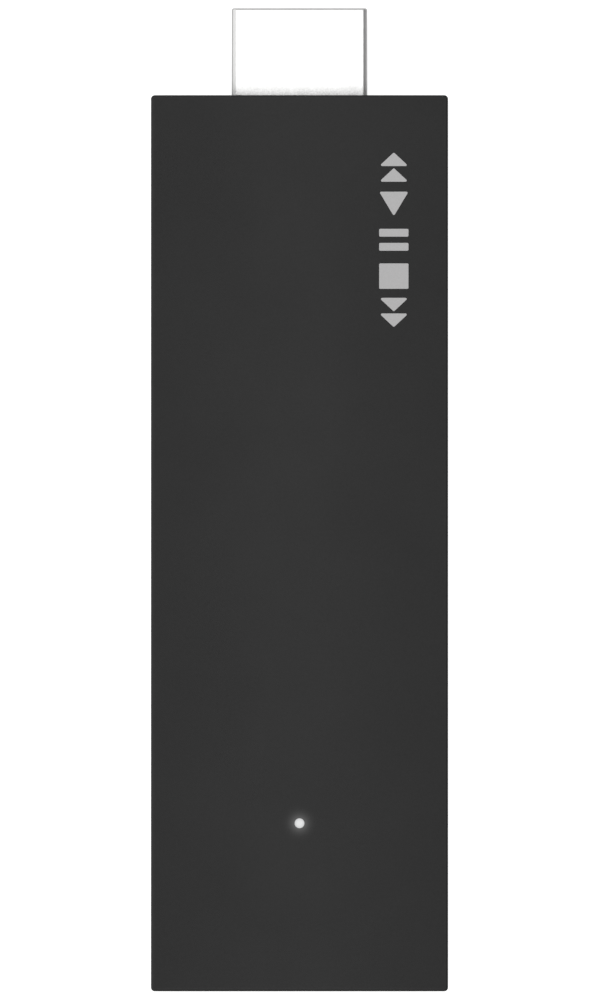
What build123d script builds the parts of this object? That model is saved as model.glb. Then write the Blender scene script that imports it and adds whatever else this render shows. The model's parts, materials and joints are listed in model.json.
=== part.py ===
from build123d import *
import math
import os

# A streaming media player in the form of a stick: a flat black housing with an HDMI Type-A plug on one
# end and a micro-USB power inlet on the other. It lies on its back: +Z is out of the front face, +Y is
# out of the plug, and the origin is at the bottom centre of the whole object. All sizes are millimetres.

# ---- Driving dimensions: the housing ----
BODY_WIDTH = 30.4
BODY_LENGTH = 91.7
BODY_HEIGHT = 14.0
PLUG_REACH = 9.0  # how far the plug stands out of the housing
WALL = 1.5
CORNER_RADIUS = 0.4
EDGE_RADIUS = 0.25
CAVITY_RADIUS = 0.8
TOUCH_GAP = 0.02  # between pieces that rest against each other

HALF_WIDTH = BODY_WIDTH / 2
TIP_Y = (BODY_LENGTH + PLUG_REACH) / 2  # front edge of the plug
NOSE_Y = TIP_Y - PLUG_REACH  # the housing's end face at the plug
TAIL_Y = NOSE_Y - BODY_LENGTH  # the housing's end face at the power inlet
AXIS_Z = BODY_HEIGHT / 2  # both connectors and the parting plane lie at mid height
FLOOR_Z = WALL
CEILING_Z = BODY_HEIGHT - WALL
CAVITY_HALF_WIDTH = HALF_WIDTH - WALL
CAVITY_NOSE_Y = NOSE_Y - WALL
CAVITY_TAIL_Y = TAIL_Y + WALL

# ---- Joint between the covers ----
SEAM_WIDTH = 0.2
SEAM_DEPTH = 0.15
LIP_THICKNESS = 0.65
LIP_HEIGHT = 0.9
LIP_CLEARANCE = 0.1
HOOK_YS = (-38.0, -6.0, 26.0)
HOOK_WIDTH = 4.0
HOOK_THICKNESS = 0.75
HOOK_INSET = 0.05  # from the cavity wall
HOOK_FOOT_Z = 4.5
BARB_TOP_Z = 5.6
BARB_REACH = 0.45
POCKET_DEPTH = 0.55
POCKET_MARGIN = 0.15

# ---- Board ----
BOARD_THICKNESS = 1.2
BOARD_HALF_WIDTH = 12.4
BOARD_NOSE_Y = 36.4
BOARD_TAIL_Y = CAVITY_TAIL_Y + 0.65
BOARD_CORNER = 0.8
FRONT_Z = AXIS_Z + BOARD_THICKNESS / 2  # the board's surface on the front side
REAR_Z = AXIS_Z - BOARD_THICKNESS / 2
SCREW_X = 10.6
SCREW_YS = (-12.0, 31.2)
SCREW_HOLE_RADIUS = 0.95
SCREW_RADIUS = 0.8
SCREW_HEAD_RADIUS = 1.5
SCREW_HEAD_HEIGHT = 0.8
SCREW_LENGTH = 4.0
RECESS_RADIUS = 0.8
RECESS_DEPTH = 0.45
BOSS_RADIUS = 1.9

# ---- HDMI Type-A plug ----
HDMI_WIDTH = 13.9
HDMI_HEIGHT = 4.45
HDMI_BEVEL = 1.5
HDMI_CORNER = 0.5
HDMI_SHEET = 0.3
HDMI_APERTURE_GAP = 0.1
HDMI_SHELL_REAR_Y = 37.0
HDMI_LEG_LENGTH = 3.2
HDMI_LEG_HALF_HEIGHT = 1.1
HDMI_INSULATOR_SETBACK = 0.6
HDMI_SLOT_WIDTH = 10.6
HDMI_SLOT_HEIGHT = 1.5
HDMI_SLOT_DEPTH = 7.5
HDMI_PITCH = 1.0
HDMI_CONTACT_WIDTH = 0.42
HDMI_CONTACT_THICKNESS = 0.2
HDMI_TAIL_LENGTH = 1.8
HDMI_WINDOW = (2.6, 1.8)
HDMI_WINDOW_X = 2.9
HDMI_SEAM_GAP = 0.08
HDMI_COLLAR_SWELL = 0.5
SADDLE_HALF_WIDTH = 8.5
SADDLE_THICKNESS = 1.2
SADDLE_TO_WALL = 1.05

# ---- Micro-USB power inlet ----
USB_WIDTH = 7.5
USB_HEIGHT = 2.5
USB_BEVEL = 0.9
USB_CORNER = 0.4
USB_SHEET = 0.25
USB_MOUTH_SETBACK = 0.1
USB_DEPTH = 5.25
USB_LIP_SWELL = 0.25
USB_LIP_LENGTH = 0.35
USB_APERTURE_GAP = 0.12
USB_LEAD_IN = 0.35  # the bevel round the mouth in the housing
USB_TONGUE_HALF_WIDTH = 1.85
USB_TONGUE_THICKNESS = 0.6
USB_TONGUE_SETBACK = 0.75
USB_BASE_LENGTH = 1.4
USB_PITCH = 0.65
USB_CONTACT_WIDTH = 0.4
USB_CONTACT_THICKNESS = 0.1
USB_EAR_REACH = 1.35
USB_EAR_WIDTH = 1.2
USB_EAR_THICKNESS = 0.25
USB_CUTOUT_HALF_WIDTH = 4.0
USB_CUTOUT_NOSE_Y = -44.5

# ---- Status light ----
LED_Y = TAIL_Y + 17.2
PIPE_RADIUS = 0.5
PIPE_SHAFT_RADIUS = 0.8
PIPE_FLANGE_RADIUS = 1.3
PIPE_FLANGE_THICKNESS = 0.5
PIPE_GUIDE_RADIUS = 2.3
PIPE_GUIDE_LENGTH = 2.0
LED_SIZE = (1.6, 0.8, 0.2)
LED_LENS_SIZE = (1.1, 0.8, 0.35)

# ---- Reset button and its switch ----
BUTTON_Y = -22.0
BUTTON_LENGTH = 6.0
BUTTON_HEIGHT = 2.4
BUTTON_GAP = 0.1
BUTTON_SETBACK = 0.1
BUTTON_DISH_DEPTH = 0.12
BUTTON_FLANGE = (0.75, 8.4, 4.2)
BUTTON_FLANGE_OUTER_X = CAVITY_HALF_WIDTH - 0.1
BUTTON_NUB = (2.4, 1.2)
SWITCH_FRONT_X = 11.2
SWITCH_DEPTH = 2.9
SWITCH_WIDTH = 3.5
SWITCH_HEIGHT = 1.35
PLUNGER_WIDTH = 1.6
PLUNGER_HEIGHT = 0.7
PLUNGER_LENGTH = 1.6
PLUNGER_TIP_X = 12.0
PLUNGER_Z = FRONT_Z + 0.7
PLUNGER_GAP = 0.03
SWITCH_POCKET_DEPTH = 1.6
DOME_THICKNESS = 0.08
SWITCH_COVER_THICKNESS = 0.12
BUTTON_NOTCH_HALF_WIDTH = 4.7
BUTTON_NOTCH_X = 11.3

# ---- Shielding and cooling ----
SHIELD_SHEET = 0.2
LID_SHEET = 0.15
SHIELD_HEIGHT = 1.7
SHIELD_LIP = 0.8
SKIRT_DEPTH = 1.0
SHIELD_Y = 9.0
FRONT_SHIELD = (22.4, 32.0)
REAR_SHIELD = (18.6, 30.0)
FRONT_SPREADER = (22.0, 46.0, 1.2)
REAR_SPREADER = (17.0, 36.0, 1.0)
TAPE_THICKNESS = 0.3
STAKE_X = 9.2
STAKE_OFFSET_Y = 20.6
STAKE_RADIUS = 0.75
STAKE_HEAD_RADIUS = 1.3
STAKE_HEAD_HEIGHT = 0.3

# ---- Chips: width along X, length along Y, height off the board ----
PROCESSOR_SIZE = (14.0, 14.0, 1.2)
PROCESSOR_Y = 16.0
MEMORY_SIZE = (7.5, 13.3, 1.1)
MEMORY_X = 4.6
MEMORY_Y = 1.2
FLASH_SIZE = (11.5, 13.0, 1.0)
FLASH_Y = 14.5
POWER_MANAGER_SIZE = (5.0, 5.0, 0.8)
POWER_MANAGER_PLACE = (-4.5, 1.5)
MOULDING_CHAMFER = 0.15
INDUCTOR_SIZE = (3.0, 3.0, 1.2)
INDUCTOR_X = 8.2
CONVERTER_SIZE = (2.0, 2.0, 0.75)
CONVERTER_X = 4.6
POWER_STAGE_Y = -37.0
CHOKE_SIZE = (2.0, 1.25, 0.8)
CHOKE_XS = (-4.5, -1.5, 1.5, 4.5)
CHOKE_Y = 29.5
CRYSTAL_SIZE = (2.0, 2.5, 0.6)
CRYSTAL_PLACE = (9.7, 3.0)
CAPACITOR_SIZE = (0.8, 1.6, 0.8)
TERMINAL_LENGTH = 0.3
RESISTOR_SIZE = (0.5, 1.0, 0.35)
RESISTOR_Y = 32.9
RESISTOR_PITCH = 1.5
RESISTOR_COUNT = 9

# ---- Radio ----
WIFI_Y = -22.5
WIFI_BOARD = (12.0, 12.0, 0.6)
WIFI_CAN = (11.2, 11.2, 1.1)
SOCKET_X = 8.6
SOCKET_Y = -25.0
SOCKET_BASE = (2.6, 2.6, 0.35)
SOCKET_RADIUS = 1.0
SOCKET_HEIGHT = 0.85
AERIAL_PLUG_RADIUS = 1.4
AERIAL_PLUG_HEIGHT = 1.15
CRIMP_WIDTH = 1.6
CRIMP_LENGTH = 2.0
LEAD_RADIUS = 0.565
AERIAL_X = 7.6
AERIAL_Y = -42.0
AERIAL_SIZE = (10.0, 10.5, 0.12)
RADIATOR_THICKNESS = 0.05

# ---- Rating label ----
LABEL_SIZE = (20.0, 46.0, 0.12)
LABEL_RECESS_DEPTH = 0.15
LABEL_MARGIN = 0.3
LABEL_CORNER = 1.2


# ---- Shared shapes ----
def block(x, y, z):
    """A box that fills the ranges x, y and z, each given as two limits in either order."""
    ranges = [sorted(pair) for pair in (x, y, z)]
    middle = [(low + high) / 2 for low, high in ranges]
    return Pos(*middle) * Box(*[high - low for low, high in ranges])


def around(middle, size):
    """The two limits of a range of the given size about its middle."""
    return (middle - size / 2, middle + size / 2)


def on_board(place, size, side=1, lift=0.0):
    """A box standing on the board: side is 1 on the front and -1 on the rear."""
    surface = (FRONT_Z if side > 0 else REAR_Z) + side * lift
    return block(
        around(place[0], size[0]), around(place[1], size[1]), (surface, surface + side * size[2])
    )


def rod(x, y, radius, z):
    """A cylinder along Z that fills the range z."""
    low, high = sorted(z)
    return Pos(x, y, (low + high) / 2) * Cylinder(radius, high - low)


def connector_profile(width, height, bevel, corner):
    """A connector's outline in X and Z, at mid height of the body: a rectangle with bevelled lower corners."""
    half, top = width / 2, height / 2
    outline = Polygon(
        (-half, top),
        (half, top),
        (half, bevel - top),
        (half - bevel, -top),
        (bevel - half, -top),
        (-half, bevel - top),
        align=None,
    )
    return Pos(0, AXIS_Z) * fillet(outline.vertices(), corner)


def along_y(profile, y):
    """A prism of a profile drawn in X and Z, over the range y."""
    low, high = sorted(y)
    return Pos(0, low, 0) * extrude(Plane.XZ * profile, high - low, dir=(0, 1, 0))


def mirrored(shape):
    """The shape on the other side of the object's middle plane."""
    return mirror(shape, about=Plane.YZ)


def housing_ring(inner_growth, outer_growth, z):
    """A rectangular ring on the cavity's outline, with each growth measured outwards from its wall."""

    def slab(growth):
        body = block(
            (-CAVITY_HALF_WIDTH - growth, CAVITY_HALF_WIDTH + growth),
            (CAVITY_TAIL_Y - growth, CAVITY_NOSE_Y + growth),
            z,
        )
        radius = max(CAVITY_RADIUS - growth, CORNER_RADIUS)
        return fillet(body.edges().filter_by(Axis.Z), radius)

    return slab(outer_growth) - slab(inner_growth)


HDMI_PROFILE = connector_profile(HDMI_WIDTH, HDMI_HEIGHT, HDMI_BEVEL, HDMI_CORNER)
USB_PROFILE = connector_profile(USB_WIDTH, USB_HEIGHT, USB_BEVEL, USB_CORNER)


# ---- Housing ----
def cover_blank(z_closed, z_open):
    """A cover as an open tray: its outside face is at z_closed, and its mouth is at z_open."""
    outside = 1 if z_closed > z_open else -1
    tray = block((-HALF_WIDTH, HALF_WIDTH), (TAIL_Y, NOSE_Y), (z_closed, z_open))
    tray = fillet(tray.edges().filter_by(Axis.Z), CORNER_RADIUS)
    rim = tray.edges().group_by(Axis.Z)[-1 if outside > 0 else 0]
    tray = fillet(rim, EDGE_RADIUS)
    cavity = block(
        (-CAVITY_HALF_WIDTH, CAVITY_HALF_WIDTH),
        (CAVITY_TAIL_Y, CAVITY_NOSE_Y),
        (z_closed - outside * WALL, z_open),
    )
    tray -= fillet(cavity.edges().filter_by(Axis.Z), CAVITY_RADIUS)
    return tray - housing_ring(WALL - SEAM_DEPTH, WALL + 1, around(z_open, SEAM_WIDTH))


def saddle(z_wall):
    """The rib across a cover that holds the rear part of the plug's shell."""
    rear = CAVITY_NOSE_Y - SADDLE_TO_WALL - SADDLE_THICKNESS
    return block(
        (-SADDLE_HALF_WIDTH, SADDLE_HALF_WIDTH),
        (rear, rear + SADDLE_THICKNESS),
        (z_wall, AXIS_Z + math.copysign(TOUCH_GAP, z_wall - AXIS_Z)),
    )


def shared_openings():
    """What is cut from both covers: the mouths for the plug, the power inlet and the reset button."""
    plug = along_y(offset(HDMI_PROFILE, HDMI_APERTURE_GAP), (CAVITY_NOSE_Y - 0.5, NOSE_Y + 1))
    saddle_cut = along_y(offset(HDMI_PROFILE, TOUCH_GAP), (CAVITY_NOSE_Y - 4, CAVITY_NOSE_Y - 0.5))
    inlet_gap = USB_LIP_SWELL + USB_APERTURE_GAP
    inlet = along_y(offset(USB_PROFILE, inlet_gap), (TAIL_Y - 1, CAVITY_TAIL_Y + 1))
    bevel = Plane.XZ * offset(USB_PROFILE, inlet_gap + USB_LEAD_IN)
    inlet += Pos(0, TAIL_Y, 0) * extrude(bevel, USB_LEAD_IN, dir=(0, 1, 0), taper=45)
    outline = SlotOverall(BUTTON_LENGTH + 2 * BUTTON_GAP, BUTTON_HEIGHT + 2 * BUTTON_GAP)
    button = extrude(Plane.YZ * outline, 2 * WALL)
    return [plug, saddle_cut, inlet, Pos(CAVITY_HALF_WIDTH - 0.5, BUTTON_Y, AXIS_Z) * button]


def front_cover():
    cover = cover_blank(BODY_HEIGHT, AXIS_Z)
    cover -= housing_ring(
        -1, LIP_THICKNESS + LIP_CLEARANCE, (AXIS_Z - 1, AXIS_Z + LIP_HEIGHT + LIP_CLEARANCE)
    )
    cover += saddle(CEILING_Z)
    # Posts hold the board down at its corners.
    for y in (BOARD_NOSE_Y - 1.2, BOARD_TAIL_Y + 2.5):
        post = block((11.2, 12.3), around(y, 2.0), (FRONT_Z + TOUCH_GAP, CEILING_Z))
        cover += post + mirrored(post)
    # Snap hooks hang down inside the side walls.
    outer_x = CAVITY_HALF_WIDTH - HOOK_INSET
    for y in HOOK_YS:
        arm = block(
            (outer_x - HOOK_THICKNESS, outer_x), around(y, HOOK_WIDTH), (HOOK_FOOT_Z, CEILING_Z)
        )
        wedge = Polygon(
            (outer_x, BARB_TOP_Z), (outer_x + BARB_REACH, BARB_TOP_Z), (outer_x, HOOK_FOOT_Z), align=None
        )
        hook = arm + along_y(wedge, around(y, HOOK_WIDTH - 0.4))
        cover += hook + mirrored(hook)
    # A round guide holds the light pipe under its hole.
    cover += rod(0, LED_Y, PIPE_GUIDE_RADIUS, (CEILING_Z - PIPE_GUIDE_LENGTH, CEILING_Z))
    flange_seat = (CEILING_Z - PIPE_GUIDE_LENGTH - 1, CEILING_Z)
    cover -= rod(0, LED_Y, PIPE_FLANGE_RADIUS + TOUCH_GAP, flange_seat)
    cover -= rod(0, LED_Y, PIPE_RADIUS + TOUCH_GAP, (CEILING_Z - 1, BODY_HEIGHT + 1))
    # Melted stakes hold the heat spreader against the ceiling.
    spreader_rear_z = CEILING_Z - TAPE_THICKNESS - FRONT_SPREADER[2]
    for x, y in stake_places():
        head_z = spreader_rear_z - TOUCH_GAP
        cover += rod(x, y, STAKE_RADIUS, (head_z, CEILING_Z))
        cover += rod(x, y, STAKE_HEAD_RADIUS, (head_z - STAKE_HEAD_HEIGHT, head_z))
    for opening in shared_openings():
        cover -= opening
    return cover


def rear_cover():
    cover = cover_blank(0, AXIS_Z)
    lip = housing_ring(0, LIP_THICKNESS, (AXIS_Z - 1, AXIS_Z + LIP_HEIGHT))
    # The lip stops at the plug, at the power inlet and at the button.
    lip -= block(around(0, HDMI_WIDTH + 1), (CAVITY_NOSE_Y - 1, NOSE_Y), (AXIS_Z, BODY_HEIGHT))
    lip -= block(around(0, USB_WIDTH + 1.6), (TAIL_Y, CAVITY_TAIL_Y + 1), (AXIS_Z, BODY_HEIGHT))
    lip -= block((10, HALF_WIDTH), around(BUTTON_Y, BUTTON_LENGTH + 1), (AXIS_Z, BODY_HEIGHT))
    cover += lip
    cover += saddle(FLOOR_Z)
    for x in (-SCREW_X, SCREW_X):
        for y in SCREW_YS:
            cover += rod(x, y, BOSS_RADIUS, (FLOOR_Z, REAR_Z))
            screw_end_z = FRONT_Z - SCREW_LENGTH - 0.4
            cover -= rod(x, y, SCREW_RADIUS + TOUCH_GAP, (screw_end_z, REAR_Z + 1))
    # Pockets in the side walls catch the hooks' barbs.
    for y in HOOK_YS:
        pocket = block(
            (CAVITY_HALF_WIDTH - 0.5, CAVITY_HALF_WIDTH + POCKET_DEPTH),
            around(y, HOOK_WIDTH + 2 * POCKET_MARGIN),
            (HOOK_FOOT_Z - POCKET_MARGIN, BARB_TOP_Z + POCKET_MARGIN),
        )
        cover -= pocket + mirrored(pocket)
    recess = block(
        around(0, LABEL_SIZE[0] + 2 * LABEL_MARGIN),
        around(NOSE_Y - BODY_LENGTH / 2, LABEL_SIZE[1] + 2 * LABEL_MARGIN),
        (-1, LABEL_RECESS_DEPTH),
    )
    cover -= fillet(recess.edges().filter_by(Axis.Z), LABEL_CORNER + LABEL_MARGIN)
    for opening in shared_openings():
        cover -= opening
    return cover


def rating_label():
    y = around(NOSE_Y - BODY_LENGTH / 2, LABEL_SIZE[1])
    sheet = block(
        around(0, LABEL_SIZE[0]), y, (LABEL_RECESS_DEPTH, LABEL_RECESS_DEPTH - LABEL_SIZE[2])
    )
    return fillet(sheet.edges().filter_by(Axis.Z), LABEL_CORNER)


def led_light_pipe():
    led_top = FRONT_Z + LED_SIZE[2] + LED_LENS_SIZE[2]
    flange_z = (CEILING_Z - PIPE_FLANGE_THICKNESS, CEILING_Z)
    pipe = rod(0, LED_Y, PIPE_RADIUS, (CEILING_Z - 0.1, BODY_HEIGHT - TOUCH_GAP))
    pipe += rod(0, LED_Y, PIPE_FLANGE_RADIUS, flange_z)
    return pipe + rod(0, LED_Y, PIPE_SHAFT_RADIUS, (led_top + 0.3, flange_z[0]))


def reset_button():
    outer_x = HALF_WIDTH - BUTTON_SETBACK
    flange_depth, flange_length, flange_height = BUTTON_FLANGE
    flange_x = (BUTTON_FLANGE_OUTER_X - flange_depth, BUTTON_FLANGE_OUTER_X)
    head = extrude(Plane.YZ * SlotOverall(BUTTON_LENGTH, BUTTON_HEIGHT), outer_x - flange_x[0])
    head = Pos(flange_x[0], BUTTON_Y, AXIS_Z) * head
    head = fillet(head.edges().group_by(Axis.X)[-1], 0.15)
    dish = SlotOverall(BUTTON_LENGTH - 1.2, BUTTON_HEIGHT - 1.2)
    head -= Pos(outer_x - BUTTON_DISH_DEPTH, BUTTON_Y, AXIS_Z) * extrude(Plane.YZ * dish, 1)
    flange = block(flange_x, around(BUTTON_Y, flange_length), around(AXIS_Z, flange_height))
    nub = block(
        (PLUNGER_TIP_X + TOUCH_GAP, flange_x[0]),
        around(BUTTON_Y, BUTTON_NUB[0]),
        around(PLUNGER_Z, BUTTON_NUB[1]),
    )
    return head + flange + nub


# ---- HDMI plug ----
def hdmi_shell():
    y = (HDMI_SHELL_REAR_Y, TIP_Y)
    outside = along_y(HDMI_PROFILE, y)
    outside = fillet(outside.edges().group_by(Axis.Y)[-1], HDMI_SHEET - 0.08)
    shell = outside - along_y(offset(HDMI_PROFILE, -HDMI_SHEET), (y[0] - 1, y[1] + 1))
    # Windows for the socket's springs and the folded sheet's seam are on the narrow side.
    sheet_z = (AXIS_Z - HDMI_HEIGHT / 2 - 0.1, AXIS_Z - HDMI_HEIGHT / 2 + HDMI_SHEET + 0.1)
    for x in (-HDMI_WINDOW_X, HDMI_WINDOW_X):
        window = block(around(x, HDMI_WINDOW[0]), around(TIP_Y - 4.6, HDMI_WINDOW[1]), sheet_z)
        shell -= fillet(window.edges().filter_by(Axis.Z), 0.3)
    shell -= block(around(0, HDMI_SEAM_GAP), (y[0] - 1, y[1] + 1), sheet_z)
    leg = block(
        (HDMI_WIDTH / 2 - HDMI_SHEET, HDMI_WIDTH / 2),
        (y[0] - HDMI_LEG_LENGTH, y[0] + 0.5),
        (AXIS_Z - 0.6, AXIS_Z + HDMI_LEG_HALF_HEIGHT),
    )
    return shell + leg + mirrored(leg)


def hdmi_collar():
    """The moulded shoulder between the saddle ribs and the housing's end wall."""
    y = (CAVITY_NOSE_Y - SADDLE_TO_WALL + TOUCH_GAP, CAVITY_NOSE_Y - TOUCH_GAP)
    ring = along_y(offset(HDMI_PROFILE, HDMI_COLLAR_SWELL), y)
    return ring - along_y(offset(HDMI_PROFILE, TOUCH_GAP), (y[0] - 1, y[1] + 1))


def hdmi_contact_boxes():
    """Each contact as its X and Z ranges: ten on the front side, and nine behind, half a pitch across."""
    boxes = []
    for side, count, surface in ((1, 10, FRONT_Z), (-1, 9, REAR_Z)):
        for i in range(count):
            x = (i - (count - 1) / 2) * HDMI_PITCH
            z = (surface, surface + side * HDMI_CONTACT_THICKNESS)
            boxes.append((around(x, HDMI_CONTACT_WIDTH), z))
    return boxes


def hdmi_insulator():
    front = TIP_Y - HDMI_INSULATOR_SETBACK
    core = along_y(offset(HDMI_PROFILE, -HDMI_SHEET - 0.05), (BOARD_NOSE_Y + 0.05, front))
    core -= block(
        around(0, HDMI_SLOT_WIDTH), (front - HDMI_SLOT_DEPTH, front + 1), around(AXIS_Z, HDMI_SLOT_HEIGHT)
    )
    for x, z in hdmi_contact_boxes():
        core -= block(x, (BOARD_NOSE_Y, front - 0.45), z)
    return core


def hdmi_contacts():
    """Contacts with a nose that slopes into its groove, and a tail that lies on the board."""
    front = TIP_Y - HDMI_INSULATOR_SETBACK - 0.85
    contacts = []
    for x, z in hdmi_contact_boxes():
        strip = block(x, (BOARD_NOSE_Y - HDMI_TAIL_LENGTH, front), z)
        inner_z = min(z, key=lambda level: abs(level - AXIS_Z))
        nose = [
            edge
            for edge in strip.edges().group_by(Axis.Y)[-1].filter_by(Axis.X)
            if abs(edge.center().Z - inner_z) < 0.01
        ]
        contacts.append(chamfer(nose, 0.12))
    return Compound(contacts)


# ---- Power inlet ----
def usb_mouth_y():
    return TAIL_Y + USB_MOUTH_SETBACK


def usb_tongue_z():
    top = AXIS_Z + USB_HEIGHT / 2 - USB_SHEET - 0.25
    return (top - USB_TONGUE_THICKNESS, top)


def usb_shell():
    mouth = usb_mouth_y()
    shell = along_y(USB_PROFILE, (mouth, mouth + USB_DEPTH))
    lip = along_y(offset(USB_PROFILE, USB_LIP_SWELL), (mouth, mouth + USB_LIP_LENGTH))
    shell += fillet(lip.edges().group_by(Axis.Y)[0], 0.15)
    shell -= along_y(offset(USB_PROFILE, -USB_SHEET), (mouth - 1, mouth + USB_DEPTH + 1))
    bell = along_y(offset(USB_PROFILE, -0.05), (mouth - 0.1, mouth + 0.2))
    shell -= bell
    for y in (mouth + 2.9, mouth + 4.5):
        ear = block(
            (USB_WIDTH / 2 - 0.1, USB_WIDTH / 2 + USB_EAR_REACH),
            around(y, USB_EAR_WIDTH),
            (FRONT_Z, FRONT_Z + USB_EAR_THICKNESS),
        )
        shell += ear + mirrored(ear)
    return shell


def usb_contact_boxes():
    """The five contacts' X ranges."""
    return [around((i - 2) * USB_PITCH, USB_CONTACT_WIDTH) for i in range(5)]


def usb_insulator():
    rear = usb_mouth_y() + USB_DEPTH
    inside = offset(USB_PROFILE, -USB_SHEET - TOUCH_GAP)
    base = along_y(inside, (rear - USB_BASE_LENGTH, rear))
    z = usb_tongue_z()
    tongue = block(
        (-USB_TONGUE_HALF_WIDTH, USB_TONGUE_HALF_WIDTH),
        (usb_mouth_y() + USB_TONGUE_SETBACK, rear - USB_BASE_LENGTH + 0.1),
        z,
    )
    tongue = fillet(tongue.edges().group_by(Axis.Y)[0].filter_by(Axis.Z), 0.3)
    part = base + tongue
    for x in usb_contact_boxes():
        part -= block(x, (rear - USB_BASE_LENGTH, rear + 1), (z[0] - USB_CONTACT_THICKNESS, z[0]))
    return part


def usb_contacts():
    """Each contact runs under the tongue, out of the base, and up onto the board."""
    z = usb_tongue_z()[0]
    rear = usb_mouth_y() + USB_DEPTH
    step_y = (rear + 0.25, rear + 0.25 + USB_CONTACT_THICKNESS)
    contacts = []
    for x in usb_contact_boxes():
        under = block(
            x, (usb_mouth_y() + USB_TONGUE_SETBACK + 0.25, step_y[1]), (z - USB_CONTACT_THICKNESS, z)
        )
        riser = block(x, step_y, (z - USB_CONTACT_THICKNESS, FRONT_Z + USB_CONTACT_THICKNESS))
        foot = block(x, (step_y[0], step_y[0] + 1.3), (FRONT_Z, FRONT_Z + USB_CONTACT_THICKNESS))
        contacts.append(under + riser + foot)
    return Compound(contacts)


# ---- Board and what is on it ----
def main_board():
    board = block(
        (-BOARD_HALF_WIDTH, BOARD_HALF_WIDTH), (BOARD_TAIL_Y, BOARD_NOSE_Y), (REAR_Z, FRONT_Z)
    )
    board = fillet(board.edges().filter_by(Axis.Z), BOARD_CORNER)
    inlet = block(
        around(0, 2 * USB_CUTOUT_HALF_WIDTH), (BOARD_TAIL_Y - 1, USB_CUTOUT_NOSE_Y), (REAR_Z, FRONT_Z)
    )
    board -= inlet
    notch = block(
        (BUTTON_NOTCH_X, BOARD_HALF_WIDTH + 1),
        around(BUTTON_Y, 2 * BUTTON_NOTCH_HALF_WIDTH),
        (REAR_Z, FRONT_Z),
    )
    board -= notch
    leg_x = HDMI_WIDTH / 2 - HDMI_SHEET / 2
    leg_slot = block(
        around(leg_x, HDMI_SHEET + 0.3),
        (HDMI_SHELL_REAR_Y - HDMI_LEG_LENGTH - 0.2, BOARD_NOSE_Y + 1),
        (REAR_Z, FRONT_Z),
    )
    board -= leg_slot + mirrored(leg_slot)
    for x in (-SCREW_X, SCREW_X):
        for y in SCREW_YS:
            board -= rod(x, y, SCREW_HOLE_RADIUS, (REAR_Z - 1, FRONT_Z + 1))
    return board


def board_screws():
    """Four pan-head screws, each with a hexagon recess."""
    screws = []
    for x in (-SCREW_X, SCREW_X):
        for y in SCREW_YS:
            head_top = FRONT_Z + SCREW_HEAD_HEIGHT
            head = rod(x, y, SCREW_HEAD_RADIUS, (FRONT_Z, head_top))
            head = fillet(head.edges().group_by(Axis.Z)[-1], 0.25)
            recess = extrude(RegularPolygon(RECESS_RADIUS, 6), RECESS_DEPTH + 1)
            head -= Pos(x, y, head_top - RECESS_DEPTH) * recess
            shank = rod(x, y, SCREW_RADIUS, (FRONT_Z - SCREW_LENGTH, FRONT_Z + 0.1))
            screws.append(head + chamfer(shank.edges().group_by(Axis.Z)[0], 0.3))
    return Compound(screws)


def moulded_chip(place, size, side=1):
    """A chip on a thin substrate, with its moulding stepped in and chamfered above it."""
    substrate = size[2] * 0.3
    chip = on_board(place, (size[0], size[1], substrate), side)
    cap = on_board(place, (size[0] - 0.3, size[1] - 0.3, size[2] - substrate), side, substrate)
    top = cap.edges().group_by(Axis.Z)[-1 if side > 0 else 0]
    return chip + chamfer(top, MOULDING_CHAMFER)


def processor():
    return moulded_chip((0, PROCESSOR_Y), PROCESSOR_SIZE)


def memory_chips():
    return Compound([moulded_chip((x, MEMORY_Y), MEMORY_SIZE) for x in (-MEMORY_X, MEMORY_X)])


def flash_chip():
    return moulded_chip((0, FLASH_Y), FLASH_SIZE, side=-1)


def power_manager_chip():
    return moulded_chip(POWER_MANAGER_PLACE, POWER_MANAGER_SIZE, side=-1)


def buck_converters():
    places = [(-CONVERTER_X, POWER_STAGE_Y), (CONVERTER_X, POWER_STAGE_Y)]
    return Compound([moulded_chip(place, CONVERTER_SIZE) for place in places])


def power_inductors():
    """Two moulded inductors with a round winding showing as a low crown."""
    inductors = []
    for x in (-INDUCTOR_X, INDUCTOR_X):
        body = on_board((x, POWER_STAGE_Y), INDUCTOR_SIZE)
        body = fillet(body.edges().filter_by(Axis.Z), 0.5)
        top = FRONT_Z + INDUCTOR_SIZE[2]
        inductors.append(body + rod(x, POWER_STAGE_Y, 1.1, (top - 0.1, top + 0.12)))
    return Compound(inductors)


def hdmi_chokes():
    chips = [on_board((x, CHOKE_Y), CHOKE_SIZE) for x in CHOKE_XS]
    return Compound([fillet(chip.edges().filter_by(Axis.Z), 0.15) for chip in chips])


def crystal():
    can = on_board(CRYSTAL_PLACE, CRYSTAL_SIZE)
    can = fillet(can.edges().filter_by(Axis.Z), 0.35)
    return fillet(can.edges().group_by(Axis.Z)[-1], 0.1)


def capacitor_places():
    """Beside the processor, beside the power stage and under the rear shield: (x, y, side)."""
    beside_processor = [(x, 10.0 + 2.2 * i, 1) for x in (-8.7, 8.7) for i in range(6)]
    beside_power = [(x, y, 1) for x in (-11.2, 11.2) for y in (-38.2, -35.8)]
    under_shield = [(-7.2 + 2.4 * i, -3.6, -1) for i in range(7)]
    return beside_processor + beside_power + under_shield


def capacitor_bodies():
    width, length, height = CAPACITOR_SIZE
    middle = (width, length - 2 * TERMINAL_LENGTH, height)
    return Compound([on_board((x, y), middle, side) for x, y, side in capacitor_places()])


def capacitor_terminals():
    width, length, height = CAPACITOR_SIZE
    reach = (length - TERMINAL_LENGTH) / 2
    ends = []
    for x, y, side in capacitor_places():
        for shift in (-reach, reach):
            ends.append(on_board((x, y + shift), (width, TERMINAL_LENGTH, height), side))
    return Compound(ends)


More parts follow.
